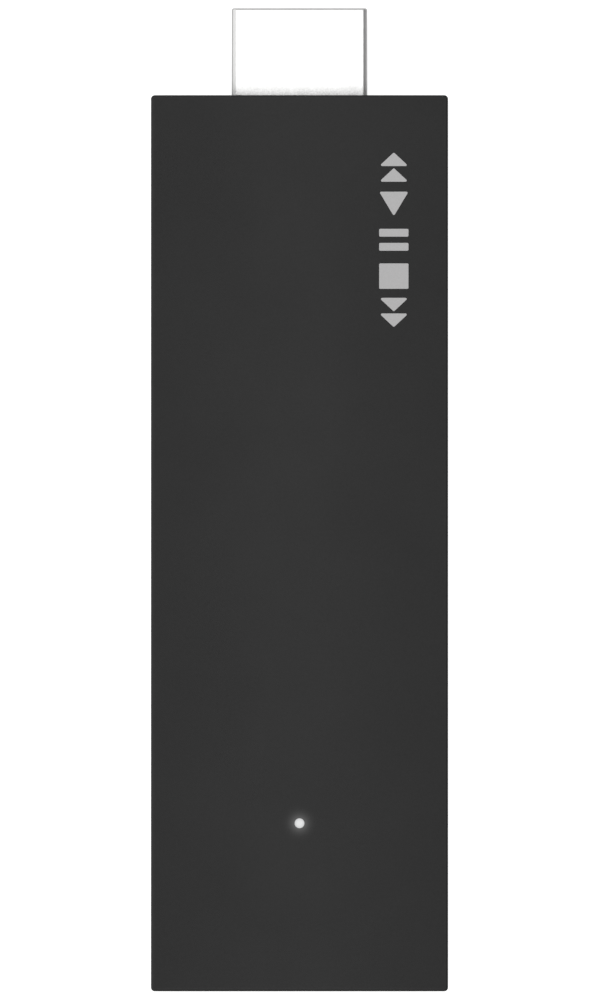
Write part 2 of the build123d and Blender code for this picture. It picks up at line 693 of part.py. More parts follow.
def chip_resistors():
    start = -(RESISTOR_COUNT - 1) / 2 * RESISTOR_PITCH
    return Compound(
        [on_board((start + i * RESISTOR_PITCH, RESISTOR_Y), RESISTOR_SIZE) for i in range(RESISTOR_COUNT)]
    )


def status_led():
    base = on_board((0, LED_Y), LED_SIZE)
    return base + on_board((0, LED_Y), LED_LENS_SIZE, lift=LED_SIZE[2])


# ---- Reset switch ----
def reset_switch_base():
    body = block(
        (SWITCH_FRONT_X - SWITCH_DEPTH, SWITCH_FRONT_X),
        around(BUTTON_Y, SWITCH_WIDTH),
        (FRONT_Z, FRONT_Z + SWITCH_HEIGHT),
    )
    body -= block(
        (SWITCH_FRONT_X - SWITCH_POCKET_DEPTH, SWITCH_FRONT_X + 1),
        around(BUTTON_Y, PLUNGER_WIDTH + 2 * PLUNGER_GAP),
        around(PLUNGER_Z, PLUNGER_HEIGHT + 2 * PLUNGER_GAP),
    )
    return body


def reset_switch_plunger():
    plunger = block(
        (PLUNGER_TIP_X - PLUNGER_LENGTH, PLUNGER_TIP_X),
        around(BUTTON_Y, PLUNGER_WIDTH),
        around(PLUNGER_Z, PLUNGER_HEIGHT),
    )
    return fillet(plunger.edges().group_by(Axis.X)[-1], 0.12)


def reset_switch_dome():
    """The bowed snap leaf behind the plunger, which flattens when it is pressed."""
    back_x = SWITCH_FRONT_X - SWITCH_POCKET_DEPTH + TOUCH_GAP
    crown_x = PLUNGER_TIP_X - PLUNGER_LENGTH - TOUCH_GAP - DOME_THICKNESS
    half = PLUNGER_WIDTH / 2
    inner = ThreePointArc((back_x, -half), (crown_x, 0), (back_x, half))
    outer = ThreePointArc(
        (back_x + DOME_THICKNESS, half), (crown_x + DOME_THICKNESS, 0), (back_x + DOME_THICKNESS, -half)
    )
    ends = [Line(inner @ 1, outer @ 0), Line(outer @ 1, inner @ 0)]
    leaf = make_face([inner, ends[0], outer, ends[1]])
    return Pos(0, BUTTON_Y, PLUNGER_Z - 0.25) * extrude(leaf, 0.5, dir=(0, 0, 1))


def reset_switch_cover():
    """The folded metal cover that clips over the switch and is soldered to the board at its sides."""
    top = FRONT_Z + SWITCH_HEIGHT
    x = (SWITCH_FRONT_X - SWITCH_DEPTH + 0.2, SWITCH_FRONT_X - 0.2)
    half = SWITCH_WIDTH / 2
    cover = block(x, around(BUTTON_Y, SWITCH_WIDTH), (top, top + SWITCH_COVER_THICKNESS))
    for side in (-1, 1):
        y = BUTTON_Y + side * half
        outer_y = y + side * SWITCH_COVER_THICKNESS
        cover += block(x, (y, outer_y), (top + SWITCH_COVER_THICKNESS, FRONT_Z + 0.6))
        cover += block((x[0] + 0.6, x[1] - 0.6), (y, outer_y), (FRONT_Z + 0.6, FRONT_Z))
    return cover


# ---- Shielding and cooling ----
def shield_frame(size, side):
    """A sheet-metal fence round a group of chips, with an inward lip and notches along its foot."""
    base = FRONT_Z if side > 0 else REAR_Z
    top = base + side * SHIELD_HEIGHT
    x, y = around(0, size[0]), around(SHIELD_Y, size[1])
    frame = block(x, y, (base, top))
    frame -= block(
        around(0, size[0] - 2 * SHIELD_SHEET),
        around(SHIELD_Y, size[1] - 2 * SHIELD_SHEET),
        (base - side, top - side * SHIELD_SHEET),
    )
    frame -= block(
        around(0, size[0] - 2 * SHIELD_SHEET - 2 * SHIELD_LIP),
        around(SHIELD_Y, size[1] - 2 * SHIELD_SHEET - 2 * SHIELD_LIP),
        (base, top + side),
    )
    notch_count = 6
    for i in range(notch_count):
        middle = SHIELD_Y + (i - (notch_count - 1) / 2) * size[1] / notch_count
        frame -= block(around(0, size[0] + 2), around(middle, 1.4), (base - side, base + side * 0.3))
    return frame


def shield_lid(size, side):
    """A shallow lid over the fence, with its skirt slit at the corners."""
    seat = (FRONT_Z if side > 0 else REAR_Z) + side * SHIELD_HEIGHT
    grow = 2 * (LID_SHEET + TOUCH_GAP)
    outer = (size[0] + grow, size[1] + grow)
    lid = block(
        around(0, outer[0]),
        around(SHIELD_Y, outer[1]),
        (seat + side * LID_SHEET, seat - side * SKIRT_DEPTH),
    )
    lid -= block(
        around(0, size[0] + 2 * TOUCH_GAP),
        around(SHIELD_Y, size[1] + 2 * TOUCH_GAP),
        (seat, seat - side * (SKIRT_DEPTH + 1)),
    )
    for x in (-1, 1):
        for y in (-1, 1):
            corner = (x * outer[0] / 2, SHIELD_Y + y * outer[1] / 2)
            lid -= block(
                around(corner[0], 1.0), around(corner[1], 1.0), (seat - side * 0.05, seat - side * 2)
            )
    return lid


def front_shield_frame():
    return shield_frame(FRONT_SHIELD, 1)


def front_shield_lid():
    return shield_lid(FRONT_SHIELD, 1)


def rear_shield_frame():
    return shield_frame(REAR_SHIELD, -1)


def rear_shield_lid():
    return shield_lid(REAR_SHIELD, -1)


def front_lid_z():
    return FRONT_Z + SHIELD_HEIGHT + LID_SHEET


def rear_lid_z():
    return REAR_Z - SHIELD_HEIGHT - LID_SHEET


def soft_pad(middle, size, z):
    """A thermal pad with softened upright edges."""
    pad = block(around(middle[0], size[0]), around(middle[1], size[1]), z)
    return fillet(pad.edges().filter_by(Axis.Z), 0.4)


def processor_thermal_pad():
    z = (FRONT_Z + PROCESSOR_SIZE[2], FRONT_Z + SHIELD_HEIGHT)
    return soft_pad((0, PROCESSOR_Y), PROCESSOR_SIZE[:2], z)


def front_gap_pad():
    z = (front_lid_z(), CEILING_Z - TAPE_THICKNESS - FRONT_SPREADER[2])
    return soft_pad((0, SHIELD_Y + 4), (16.0, 20.0), z)


def flash_thermal_pad():
    z = (REAR_Z - FLASH_SIZE[2], REAR_Z - SHIELD_HEIGHT)
    return soft_pad((0, FLASH_Y), FLASH_SIZE[:2], z)


def rear_gap_pad():
    z = (FLOOR_Z + TAPE_THICKNESS + REAR_SPREADER[2], rear_lid_z())
    return soft_pad((0, SHIELD_Y + 2), (14.0, 20.0), z)


def stake_places():
    """Where the front cover's four stakes pass through the heat spreader."""
    return [(x, SHIELD_Y + y) for x in (-STAKE_X, STAKE_X) for y in (-STAKE_OFFSET_Y, STAKE_OFFSET_Y)]


def spreader(size, z):
    plate = block(around(0, size[0]), around(SHIELD_Y, size[1]), z)
    return fillet(plate.edges().filter_by(Axis.Z), 1.0)


def front_heat_spreader():
    """An aluminium plate with two long grooves and four holes for the stakes."""
    top = CEILING_Z - TAPE_THICKNESS
    plate = spreader(FRONT_SPREADER, (top - FRONT_SPREADER[2], top))
    for x in (-10.0, 10.0):
        plate -= block(around(x, 0.6), around(SHIELD_Y, FRONT_SPREADER[1] - 10), (top, top - 0.4))
    for x, y in stake_places():
        plate -= rod(x, y, STAKE_RADIUS + TOUCH_GAP, (top - 5, top + 5))
    return plate


def front_spreader_tape():
    tape = soft_pad((0, SHIELD_Y), (15.0, 40.0), (CEILING_Z - TAPE_THICKNESS, CEILING_Z))
    return tape


def rear_heat_spreader():
    base = FLOOR_Z + TAPE_THICKNESS
    return spreader(REAR_SPREADER, (base, base + REAR_SPREADER[2]))


def rear_spreader_tape():
    return soft_pad((0, SHIELD_Y), (15.0, 34.0), (FLOOR_Z, FLOOR_Z + TAPE_THICKNESS))


# ---- Radio ----
def wifi_module_board():
    return on_board((0, WIFI_Y), WIFI_BOARD, side=-1)


def wifi_module_can():
    can = on_board((0, WIFI_Y), WIFI_CAN, side=-1, lift=WIFI_BOARD[2])
    can = fillet(can.edges().filter_by(Axis.Z), 0.5)
    return fillet(can.edges().group_by(Axis.Z)[0], 0.15)


def antenna_sockets():
    sockets = []
    for x in (-SOCKET_X, SOCKET_X):
        base_z = REAR_Z - SOCKET_BASE[2]
        socket = on_board((x, SOCKET_Y), SOCKET_BASE, side=-1)
        socket += rod(x, SOCKET_Y, SOCKET_RADIUS, (base_z + 0.1, base_z - SOCKET_HEIGHT))
        socket -= rod(x, SOCKET_Y, SOCKET_RADIUS - 0.25, (base_z, base_z - 2))
        socket += rod(x, SOCKET_Y, 0.2, (base_z + 0.1, base_z - SOCKET_HEIGHT + 0.15))
        sockets.append(socket)
    return Compound(sockets)


def aerial_plug_z():
    """The plug's rim beside the socket's base, and its closed end."""
    rim = REAR_Z - SOCKET_BASE[2] - 0.05
    return (rim, rim - AERIAL_PLUG_HEIGHT)


def crimp_end_y():
    return SOCKET_Y - AERIAL_PLUG_RADIUS - CRIMP_LENGTH


def lead_top_z():
    rim, end = aerial_plug_z()
    return (rim + end) / 2


def antenna_plugs():
    """The snap-on plugs, each with the crimp that holds its lead."""
    rim, end = aerial_plug_z()
    plugs = []
    for x in (-SOCKET_X, SOCKET_X):
        plug = rod(x, SOCKET_Y, AERIAL_PLUG_RADIUS, (rim, end))
        plug += block(around(x, CRIMP_WIDTH), (SOCKET_Y, crimp_end_y()), (rim, end))
        plug -= rod(x, SOCKET_Y, SOCKET_RADIUS + TOUCH_GAP, (rim + 1, end + 0.2))
        plugs.append(plug)
    return Compound(plugs)


def aerial_top_z():
    return FLOOR_Z + AERIAL_SIZE[2]


def aerial_film(x):
    """A flexible antenna film stuck to the rear cover's floor."""
    film = block(
        around(x, AERIAL_SIZE[0]), around(AERIAL_Y, AERIAL_SIZE[1]), (FLOOR_Z, aerial_top_z())
    )
    return fillet(film.edges().filter_by(Axis.Z), 0.8)


def antenna_left():
    return aerial_film(-AERIAL_X)


def antenna_right():
    return aerial_film(AERIAL_X)


def antenna_radiators():
    """A copper meander on each film."""
    z = (aerial_top_z(), aerial_top_z() + RADIATOR_THICKNESS)
    track, pitch, reach = 0.6, 1.5, 4.2
    radiators = []
    for middle in (-AERIAL_X, AERIAL_X):
        meander = block(around(middle, 2 * reach), around(AERIAL_Y - 3.0, track), z)
        for i in range(1, 4):
            y = AERIAL_Y - 3.0 + i * pitch
            side = 1 if i % 2 else -1
            x = middle + side * (reach - track / 2)
            meander += block(around(x, track), (y - pitch - track / 2, y + track / 2), z)
            meander += block(around(middle, 2 * reach), around(y, track), z)
        radiators.append(meander)
    return Compound(radiators)


def lead_route(side):
    """The coaxial lead's route: flat over the film, up in a gentle S to the socket, and into the crimp."""
    low = aerial_top_z() + RADIATOR_THICKNESS + LEAD_RADIUS + TOUCH_GAP
    high = lead_top_z()
    end = crimp_end_y()
    return [
        (side * 6.2, end - 12.2, low),
        (side * 6.4, end - 10.4, low),
        (side * 6.9, end - 8.0, low + 0.45),
        (side * 7.6, end - 5.5, low + 1.55),
        (side * 8.3, end - 3.2, high - 0.45),
        (side * SOCKET_X, end - 1.5, high),
        (side * SOCKET_X, end, high),
    ]


def turn_radii(points):
    """The bend radius at each inner point: 0.45 of the shorter run over the tangent of half the turn."""
    radii = []
    for before, here, after in zip(points, points[1:], points[2:]):
        first, second = Vector(*here) - Vector(*before), Vector(*after) - Vector(*here)
        half_turn = math.radians(first.get_angle(second)) / 2
        radii.append(0.45 * min(first.length, second.length) / math.tan(half_turn))
    return radii


def antenna_lead(side):
    points = lead_route(side)
    radii = turn_radii(points)
    path = FilletPolyline(*points, radius=radii)
    section = Plane(origin=path @ 0, z_dir=path % 0) * Circle(LEAD_RADIUS)
    lead = sweep(section, path=path)
    straight = math.pi * LEAD_RADIUS**2 * path.length
    print(
        "antenna lead",
        "radii", [round(radius, 1) for radius in radii],
        "length", round(path.length, 1),
        "volume over section times length", round(lead.volume / straight, 4),
    )
    return lead


def antenna_lead_left():
    return antenna_lead(-1)


def antenna_lead_right():
    return antenna_lead(1)


NODES = (
    front_cover, rear_cover, rating_label, led_light_pipe, reset_button,
    hdmi_shell, hdmi_collar, hdmi_insulator, hdmi_contacts,
    usb_shell, usb_insulator, usb_contacts,
    main_board, board_screws,
    processor, memory_chips, flash_chip, power_manager_chip, buck_converters, power_inductors,
    hdmi_chokes, crystal, capacitor_bodies, capacitor_terminals, chip_resistors, status_led,
    reset_switch_base, reset_switch_plunger, reset_switch_dome, reset_switch_cover,
    front_shield_frame, front_shield_lid, rear_shield_frame, rear_shield_lid,
    processor_thermal_pad, front_gap_pad, front_heat_spreader, front_spreader_tape,
    flash_thermal_pad, rear_gap_pad, rear_heat_spreader, rear_spreader_tape,
    wifi_module_board, wifi_module_can,
    antenna_sockets, antenna_plugs, antenna_left, antenna_right, antenna_radiators,
    antenna_lead_left, antenna_lead_right,
)  # fmt: skip

os.makedirs("parts", exist_ok=True)
for node in NODES:
    export_step(node(), f"parts/{node.__name__}.step")
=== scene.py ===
"""The looks of a streaming media player stick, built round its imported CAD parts.

The stick lies on its back: +Z is out of its front face and +Y is out of its HDMI plug.
Everything is in metres.
"""

import json
import math

import bmesh
import bpy
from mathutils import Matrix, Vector


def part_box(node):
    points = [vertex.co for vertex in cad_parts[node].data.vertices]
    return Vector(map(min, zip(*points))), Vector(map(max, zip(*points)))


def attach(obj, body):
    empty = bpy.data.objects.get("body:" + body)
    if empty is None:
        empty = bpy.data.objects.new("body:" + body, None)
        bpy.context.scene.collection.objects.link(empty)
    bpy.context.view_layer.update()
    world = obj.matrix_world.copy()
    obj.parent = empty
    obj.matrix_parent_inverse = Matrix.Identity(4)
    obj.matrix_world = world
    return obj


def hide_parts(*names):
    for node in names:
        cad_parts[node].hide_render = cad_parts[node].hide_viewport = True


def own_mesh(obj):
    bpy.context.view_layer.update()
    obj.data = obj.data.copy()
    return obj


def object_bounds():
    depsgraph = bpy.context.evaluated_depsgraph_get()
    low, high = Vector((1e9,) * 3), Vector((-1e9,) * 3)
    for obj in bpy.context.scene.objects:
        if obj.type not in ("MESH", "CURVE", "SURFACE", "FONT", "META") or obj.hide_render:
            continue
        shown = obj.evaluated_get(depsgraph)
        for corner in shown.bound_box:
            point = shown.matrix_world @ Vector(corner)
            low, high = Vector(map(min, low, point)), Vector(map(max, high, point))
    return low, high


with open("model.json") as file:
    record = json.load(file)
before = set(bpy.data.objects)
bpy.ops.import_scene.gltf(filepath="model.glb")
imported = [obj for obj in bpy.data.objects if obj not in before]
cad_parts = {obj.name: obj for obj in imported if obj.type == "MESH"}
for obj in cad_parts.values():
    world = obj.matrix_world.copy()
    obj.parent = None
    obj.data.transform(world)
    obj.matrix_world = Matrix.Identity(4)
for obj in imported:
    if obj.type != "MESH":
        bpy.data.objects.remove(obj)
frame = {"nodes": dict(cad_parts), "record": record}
cad_low, cad_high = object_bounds()

MM = 0.001
UM = 0.000001
HOUSING = "housing"
NOISE_SPAN = (0.3, 0.7)  # nearly all of a noise's values lie in it
COLOR_A, COLOR_B, MIXED_COLOR = 6, 7, 2  # where a Mix node keeps its sockets for colours

# Places on the object, all read from the CAD frame.
housing_low = Vector(map(min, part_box("front_cover")[0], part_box("rear_cover")[0]))
housing_high = Vector(map(max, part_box("front_cover")[1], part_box("rear_cover")[1]))
plug_low, plug_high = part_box("hdmi_shell")
pipe_low, pipe_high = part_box("led_light_pipe")
led_place = (pipe_low + pipe_high) / 2
front_z = housing_high.z


# ---------------------------------------------------------------- node materials


class Finish:
    """A procedural material whose patterns are laid out in object space, at their real size."""

    def __init__(self, name, color, roughness, metallic=0.0, **constants):
        self.name = name
        self.material = bpy.data.materials.new(name)
        self.material.use_nodes = True
        self.tree = self.material.node_tree
        self.shader = self.tree.nodes["Principled BSDF"]
        self.shader.inputs["Base Color"].default_value = (*color, 1.0)
        self.shader.inputs["Roughness"].default_value = roughness
        self.shader.inputs["Metallic"].default_value = metallic
        for socket, value in constants.items():
            self.shader.inputs[socket.replace("_", " ")].default_value = value
        self.color = color
        self.roughness = roughness
        self.painted = None
        self.normal = None
        self.place = self.add("ShaderNodeTexCoord").outputs["Object"]

    def add(self, kind, inputs=(), **settings):
        """Adds a node; inputs is a list of (socket, value or output)."""
        node = self.tree.nodes.new(kind)
        for key, value in settings.items():
            setattr(node, key, value)
        for socket, value in inputs:
            if isinstance(value, bpy.types.NodeSocket):
                self.tree.links.new(value, node.inputs[socket])
            else:
                node.inputs[socket].default_value = value
        return node

    def math(self, operation, first, second=0.0):
        inputs = [(0, first), (1, second)]
        return self.add("ShaderNodeMath", inputs, operation=operation).outputs[0]

    def vector_math(self, operation, first, second=(0, 0, 0), output="Vector"):
        inputs = [(0, first), (1, second)]
        return self.add("ShaderNodeVectorMath", inputs, operation=operation).outputs[output]

    def remap(self, value, old, new, smooth=False):
        """The value moved from the range old to the range new, and held inside it."""
        inputs = [("Value", value), ("From Min", old[0]), ("From Max", old[1])]
        inputs += [("To Min", new[0]), ("To Max", new[1])]
        kind = "SMOOTHSTEP" if smooth else "LINEAR"
        return self.add("ShaderNodeMapRange", inputs, interpolation_type=kind).outputs["Result"]

    def mix(self, factor, first, second):
        """A mix of two colours, each an output or three numbers."""
        inputs = [("Factor", factor)]
        for socket, value in ((COLOR_A, first), (COLOR_B, second)):
            inputs.append((socket, value if isinstance(value, bpy.types.NodeSocket) else (*value, 1.0)))
        return self.add("ShaderNodeMix", inputs, data_type="RGBA").outputs[MIXED_COLOR]

    # Places and patterns on the object

    def axis(self, name):
        return self.add("ShaderNodeSeparateXYZ", [("Vector", self.place)]).outputs[name]

    def radius_round(self, place):
        """Distance from the upright line through a place."""
        shifted = self.vector_math("SUBTRACT", self.place, place)
        level = self.vector_math("MULTIPLY", shifted, (1, 1, 0))
        return self.vector_math("LENGTH", level, output="Value")

    def edge_wear(self, low, high, width):
        """1 on a box's edges, fading to 0 a width away: the middle one of the depths under its faces."""
        shifted = self.vector_math("SUBTRACT", self.place, (low + high) / 2)
        folded = self.vector_math("ABSOLUTE", shifted)
        depths = self.vector_math("SUBTRACT", (high - low) / 2, folded)
        x, y, z = self.add("ShaderNodeSeparateXYZ", [("Vector", depths)]).outputs
        smaller, larger = self.math("MINIMUM", x, y), self.math("MAXIMUM", x, y)
        middle = self.math("MAXIMUM", smaller, self.math("MINIMUM", larger, z))
        return self.remap(middle, (0.0, width), (1.0, 0.0), smooth=True)

    def stretched(self, size):
        """The object's coordinates, in which a size, or each of three sizes along the axes, is one unit."""
        sizes = size if isinstance(size, tuple) else (size,) * 3
        inputs = [("Vector", self.place), ("Scale", [1 / s for s in sizes])]
        return self.add("ShaderNodeMapping", inputs).outputs["Vector"]

    def noise(self, size, detail=2, rough=0.5, seed=0.0):
        """Noise from 0 to 1 with features of the given size or sizes."""
        inputs = [("Vector", self.stretched(size)), ("W", seed), ("Scale", 1.0)]
        inputs += [("Detail", detail), ("Roughness", rough)]
        return self.add("ShaderNodeTexNoise", inputs, noise_dimensions="4D").outputs["Fac"]

    def cells(self, size, output="Distance", randomness=1.0, **settings):
        """Voronoi cells of the given size or sizes."""
        inputs = [("Vector", self.stretched(size)), ("Scale", 1.0), ("Randomness", randomness)]
        return self.add("ShaderNodeTexVoronoi", inputs, **settings).outputs[output]

    def routes(self, size):
        """Distance from a net of upright, level and slanted lines in the XY plane."""
        kind = dict(voronoi_dimensions="2D", distance="CHEBYCHEV")
        nearest = self.cells(size, feature="F1", **kind)
        second = self.cells(size, feature="F2", **kind)
        return self.math("MULTIPLY", self.math("SUBTRACT", second, nearest), size / 2)

    def sway(self, noise, share):
        """A noise as a change of up to the share either way."""
        return self.remap(noise, NOISE_SPAN, (-share, share))

    # What the patterns do to the surface

    def paint(self, output):
        """Makes an output the base colour."""
        self.tree.links.new(output, self.shader.inputs["Base Color"])
        self.painted = output

    def tint(self, value, share, old=NOISE_SPAN):
        """Darkens and lightens the base colour by up to the share, as the value runs over old."""
        darker = [c * (1 - share) for c in self.color]
        lighter = [c * (1 + share) for c in self.color]
        self.paint(self.mix(self.remap(value, old, (0, 1)), darker, lighter))

    def polish(self, *changes):
        """Adds outputs to the roughness."""
        for change in changes:
            self.roughness = self.math("ADD", self.roughness, change)
        self.tree.links.new(self.roughness, self.shader.inputs["Roughness"])

    def relief(self, height, depth):
        """Adds surface relief: height runs from 0 to 1 and depth is its real depth."""
        inputs = [("Height", height), ("Distance", depth), ("Strength", 1.0)]
        if self.normal:
            inputs.append(("Normal", self.normal))
        self.normal = self.add("ShaderNodeBump", inputs).outputs["Normal"]
        self.tree.links.new(self.normal, self.shader.inputs["Normal"])

    def glow(self, amount):
        """Makes the surface give off white light by the amount."""
        lit = self.mix(amount, (0, 0, 0), (1, 1, 1))
        self.tree.links.new(lit, self.shader.inputs["Emission Color"])
        self.shader.inputs["Emission Strength"].default_value = 1.0


# ---------------------------------------------------------------- finishes of the outside


def moulded_black(name, color, roughness, grain, depth, box):
    """Black ABS: a spark-eroded grain, faint clouds, uneven gloss, and a box's edges rubbed smoother."""
    finish = Finish(name, color, roughness, Specular_IOR_Level=0.4)
    clouds = finish.noise(9 * MM, detail=3)
    finish.tint(clouds, 0.07, (0.35, 0.65))
    uneven = finish.noise(grain * 3, seed=3.0)
    worn = finish.math("MULTIPLY", finish.edge_wear(*box, 0.5 * MM), finish.noise(1.6 * MM, detail=3))
    finish.polish(finish.sway(clouds, 0.025), finish.sway(uneven, 0.02))
    finish.polish(finish.math("MULTIPLY", worn, -0.16))
    finish.relief(finish.cells(grain), depth)
    finish.relief(finish.noise(grain * 0.6, detail=3, rough=0.6), depth * 0.7)
    return finish


def housing_plastic():
    """The covers' plastic, handled smoother along its middle, with the status light's glow painted on its
    front.
    """
    box = (housing_low, housing_high)
    finish = moulded_black("housing_plastic", (0.0062, 0.0062, 0.0063), 0.56, 0.09 * MM, 10 * UM, box)

    handled_x = -1 * MM
    handled_reach, duller_beyond = (3 * MM, 17 * MM), 0.07
    sideways = finish.math("ABSOLUTE", finish.math("SUBTRACT", finish.axis("X"), handled_x))
    finish.polish(finish.remap(sideways, handled_reach, (0.0, duller_beyond)))

    # Painted glow: the cover's front gives off light within 2.4 mm of the light pipe, for the status light
    # shining through the plastic round it.
    glow_reach, glow_power, glow_level = 2.4 * MM, 4.1, 0.215
    under_front = (front_z - 0.3 * MM, front_z - 0.2 * MM)
    nearness = finish.remap(finish.radius_round(led_place), (0.0, glow_reach), (1.0, 0.0))
    on_front = finish.remap(finish.axis("Z"), under_front, (0.0, glow_level))
    finish.glow(finish.math("MULTIPLY", finish.math("POWER", nearness, glow_power), on_front))
    return finish


def button_plastic():
    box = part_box("reset_button")
    return moulded_black("button_plastic", (0.0065, 0.0065, 0.0066), 0.44, 0.07 * MM, 2 * UM, box)


def label_film():
    """Satin polyester film: faint waviness of the adhesive under it and a fine matte top coat."""
    finish = Finish("label_film", (0.021, 0.021, 0.022), 0.38, Specular_IOR_Level=0.4)
    finish.tint(finish.noise(6 * MM), 0.08)
    finish.polish(finish.sway(finish.noise(0.4 * MM, detail=3), 0.05))
    finish.relief(finish.noise(3 * MM, seed=5.0), 12 * UM)
    finish.relief(finish.noise(0.05 * MM), 0.8 * UM)
    return finish


def printed_ink(name, color):
    """Pad-printed ink: a slightly uneven, satin film."""
    finish = Finish(name, color, 0.5, Specular_IOR_Level=0.35)
    thin = finish.noise(0.12 * MM, detail=3)
    finish.tint(thin, 0.05)
    finish.polish(finish.sway(thin, 0.06))
    finish.relief(finish.noise(0.06 * MM, seed=2.0), 1.5 * UM)
    return finish


def light_pipe():
    """Clear polycarbonate lit from below: its end face shines, brightest in the middle."""
    face_color = (0.26, 0.265, 0.27)
    finish = Finish("light_pipe", face_color, 0.22, Specular_IOR_Level=0.4)
    under_front = (front_z - 0.4 * MM, front_z - 0.1 * MM)
    end_face = finish.remap(finish.axis("Z"), under_front, (0.06, 1.0))
    radius = finish.radius_round(led_place)
    profile = finish.remap(radius, (0.2 * MM, 0.5 * MM), (0.49, 0.34), smooth=True)
    speckle = finish.remap(finish.noise(0.12 * MM), NOISE_SPAN, (0.96, 1.04))
    finish.glow(finish.math("MULTIPLY", finish.math("MULTIPLY", profile, end_face), speckle))
    clear = finish.mix(finish.noise(0.3 * MM), (0.7, 0.71, 0.72), (0.76, 0.77, 0.78))
    finish.paint(finish.mix(end_face, clear, face_color))
    finish.relief(finish.noise(0.08 * MM), 1.5 * UM)
    return finish


def plated_sheet(name, color, roughness):
    """Plated or rolled sheet: lines along Y, soft clouds and a slight orange peel."""
    finish = Finish(name, color, roughness, metallic=1.0)
    lines = finish.noise((0.045 * MM, 3.5 * MM, 0.045 * MM), detail=3, rough=0.6)
    clouds = finish.noise(2.2 * MM, detail=3, seed=4.0)
    finish.tint(clouds, 0.025)
    finish.polish(finish.sway(lines, 0.05), finish.sway(clouds, 0.03))
    finish.relief(lines, 0.25 * UM)
    finish.relief(finish.noise(0.5 * MM, seed=7.0), 0.8 * UM)
    return finish


def plug_nickel():
    """The plug's plating: duller edges, and painted shade, grey and patchy, where it comes out of the
    housing.
    """
    finish = plated_sheet("plug_nickel", (0.665, 0.665, 0.66), 0.34)
    finish.polish(finish.math("MULTIPLY", finish.edge_wear(plug_low, plug_high, 0.25 * MM), 0.06))
    # Painted shade: the base colour greys in patches within 1.5 mm of the housing, where the housing shades
    # the plug.
    reach = (housing_high.y, housing_high.y + 1.5 * MM)
    nearness = finish.remap(finish.axis("Y"), reach, (1.0, 0.0), smooth=True)
    shade_patches = finish.remap(finish.noise(0.15 * MM), NOISE_SPAN, (0.0, 0.46))
    painted_shade = finish.math("MULTIPLY", nearness, shade_patches)
    finish.paint(finish.mix(painted_shade, finish.painted, (0.2, 0.2, 0.2)))
    return finish


def contact_gold():
    """Gold flash over nickel, with wiped tracks along the contact."""
    finish = Finish("contact_gold", (0.90, 0.66, 0.30), 0.24, metallic=1.0)
    finish.tint(finish.noise(0.4 * MM, detail=3), 0.08)
    tracks = finish.noise((0.03 * MM, 1.2 * MM, 0.03 * MM), detail=3)
    finish.polish(finish.remap(tracks, NOISE_SPAN, (-0.07, 0.09)))
    finish.relief(tracks, 0.4 * UM)
    return finish


def connector_plastic():
    """Black liquid-crystal polymer: glossy skin with faint flow lines."""
    finish = Finish("connector_plastic", (0.014, 0.014, 0.015), 0.36, Specular_IOR_Level=0.45)
    flow = finish.noise((2.0 * MM, 0.25 * MM, 0.6 * MM), detail=3)
    finish.tint(flow, 0.18)
    finish.polish(finish.sway(flow, 0.06))
    finish.relief(finish.noise(0.09 * MM), 1.5 * UM)
    return finish


# ---------------------------------------------------------------- finishes of the inside


def circuit_board():
    """Green solder mask over a copper pour, with tracks and vias, and glass cloth at the board's edge.

    The gaps on both sides of each track cut the pour.
    """
    finish = Finish("circuit_board", (0.012, 0.085, 0.04), 0.33, Coat_Weight=0.15)
    low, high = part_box("main_board")

    gaps = []
    for net, track in ((2.9 * MM, 0.1 * MM), (1.7 * MM, 0.07 * MM)):
        beside = finish.math("ABSOLUTE", finish.math("SUBTRACT", finish.routes(net), track * 1.6))
        gaps.append(finish.remap(beside, (track * 0.5, track * 0.7), (1.0, 0.0), smooth=True))
    busy = finish.remap(finish.noise(6 * MM, detail=0), (0.47, 0.5), (0.0, 1.0))
    gap = finish.math("MAXIMUM", gaps[0], finish.math("MULTIPLY", gaps[1], busy))
    copper = finish.math("SUBTRACT", 1.0, gap)

    vias = finish.cells((1.27 * MM, 1.27 * MM, 60 * MM), randomness=0.85)
    ring = finish.remap(vias, (0.13, 0.16), (1.0, 0.0), smooth=True)
    hole = finish.remap(vias, (0.06, 0.08), (1.0, 0.0), smooth=True)
    masked = finish.mix(copper, (0.009, 0.058, 0.03), (0.02, 0.12, 0.052))
    plated = finish.mix(ring, masked, (0.55, 0.4, 0.17))
    drilled = finish.mix(hole, plated, (0.01, 0.012, 0.01))

    above_back = finish.math("SUBTRACT", finish.axis("Z"), low.z)
    below_front = finish.math("SUBTRACT", high.z, finish.axis("Z"))
    inside = finish.math("MINIMUM", above_back, below_front)
    edge = finish.remap(inside, (0.03 * MM, 0.06 * MM), (0.0, 1.0))
    weave = finish.noise((0.5 * MM, 0.5 * MM, 0.12 * MM), detail=3)
    cloth = finish.mix(weave, (0.24, 0.25, 0.13), (0.42, 0.41, 0.24))
    finish.paint(finish.mix(edge, drilled, cloth))

    finish.polish(finish.sway(finish.noise(0.3 * MM, detail=3), 0.05))
    finish.relief(copper, 18 * UM)
    finish.relief(finish.noise(0.15 * MM), 1.5 * UM)
    return finish


def module_board():
    """Dark blue solder mask with a fine weave showing through."""
    finish = Finish("module_board", (0.012, 0.026, 0.075), 0.35, Coat_Weight=0.1)
    weave = finish.cells((0.45 * MM, 0.45 * MM, 4 * MM), randomness=0.1)
    finish.tint(weave, 0.2, (0.2, 0.7))
    finish.polish(finish.sway(finish.noise(0.4 * MM, detail=3), 0.06))
    finish.relief(weave, 3 * UM)
    return finish


